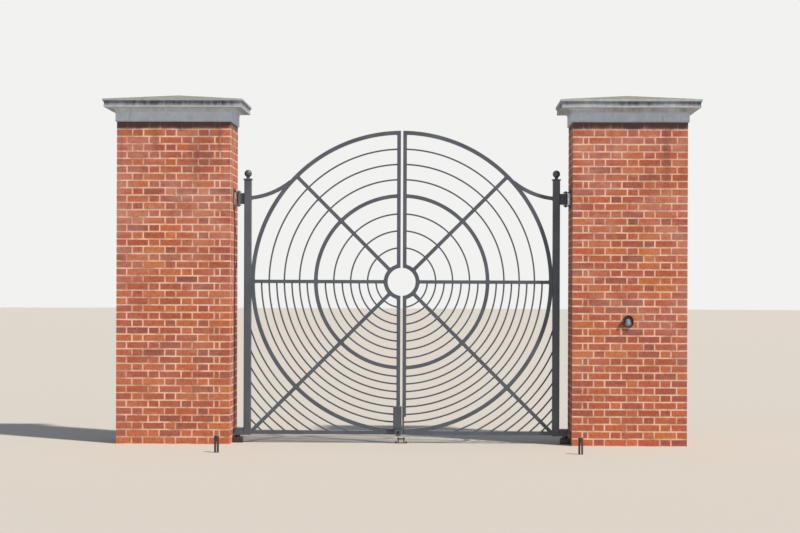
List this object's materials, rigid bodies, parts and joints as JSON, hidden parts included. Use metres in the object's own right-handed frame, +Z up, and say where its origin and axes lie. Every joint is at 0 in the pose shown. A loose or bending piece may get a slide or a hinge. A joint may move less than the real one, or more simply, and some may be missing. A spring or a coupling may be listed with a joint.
{
  "type": "driveway gate",
  "caption": "Double-leaf steel driveway gate with a spider-web pattern of concentric rings, hung between brick piers with moulded stone caps; the leaves swing open to one side.",
  "frame": {"origin": "on the ground at the middle of the gateway, in the plane of the closed leaves, on the underside of the keep plate", "axes": "+X across the gateway towards the pier with the lamp, +Y through the gateway away from the side the leaves open to, +Z up"},
  "size_m": [6.094, 1.7969, 3.603],
  "materials": {
    "fired_clay_brick": "matt orange-red brickwork with pale mortar joints",
    "weathered_cap_stone": "matt light grey stone with dark weather streaks",
    "painted_steel": "satin dark grey paint",
    "dark_lamp_metal": "satin dark brown paint",
    "frosted_lamp_glass": "smooth pale frosted glass"
  },
  "bodies": {
    "gateway": {"left_pier": "fired_clay_brick", "right_pier": "fired_clay_brick", "left_cap_frieze": "weathered_cap_stone", "right_cap_frieze": "weathered_cap_stone", "left_cap_slab": "weathered_cap_stone", "right_cap_slab": "weathered_cap_stone", "left_hinge_bracket": "painted_steel", "right_hinge_bracket": "painted_steel", "pivot_bases": "painted_steel", "stop_posts": "painted_steel", "centre_keep": "painted_steel", "wall_light": "dark_lamp_metal", "light_lens": "frosted_lamp_glass"},
    "left_leaf": {"left_heel_stile": "painted_steel", "left_ball_finial": "painted_steel", "left_hinge_eye": "painted_steel", "left_foot_shoe": "painted_steel", "left_bottom_rail": "painted_steel", "left_middle_rail": "painted_steel", "left_meeting_stile": "painted_steel", "left_hub_ring": "painted_steel", "left_middle_ring": "painted_steel", "left_outer_ring": "painted_steel", "left_top_brace": "painted_steel", "left_upper_web": "painted_steel", "left_lower_web": "painted_steel", "left_corner_web": "painted_steel", "left_lock_case": "painted_steel"},
    "right_leaf": {"right_heel_stile": "painted_steel", "right_ball_finial": "painted_steel", "right_hinge_eye": "painted_steel", "right_foot_shoe": "painted_steel", "right_bottom_rail": "painted_steel", "right_middle_rail": "painted_steel", "right_meeting_stile": "painted_steel", "right_hub_ring": "painted_steel", "right_middle_ring": "painted_steel", "right_outer_ring": "painted_steel", "right_top_brace": "painted_steel", "right_upper_web": "painted_steel", "right_lower_web": "painted_steel", "right_corner_web": "painted_steel", "right_lock_strike": "painted_steel"}
  },
  "joints": [
    {"name": "left_leaf_hinge", "type": "hinge", "parent": "gateway", "child": "left_leaf", "pos_m": [-1.693, 0, 0], "axis": [0, 0, -1], "range_deg": [0, 90]},
    {"name": "right_leaf_hinge", "type": "hinge", "parent": "gateway", "child": "right_leaf", "pos_m": [1.693, 0, 0], "axis": [0, 0, 1], "range_deg": [0, 90]}
  ]
}
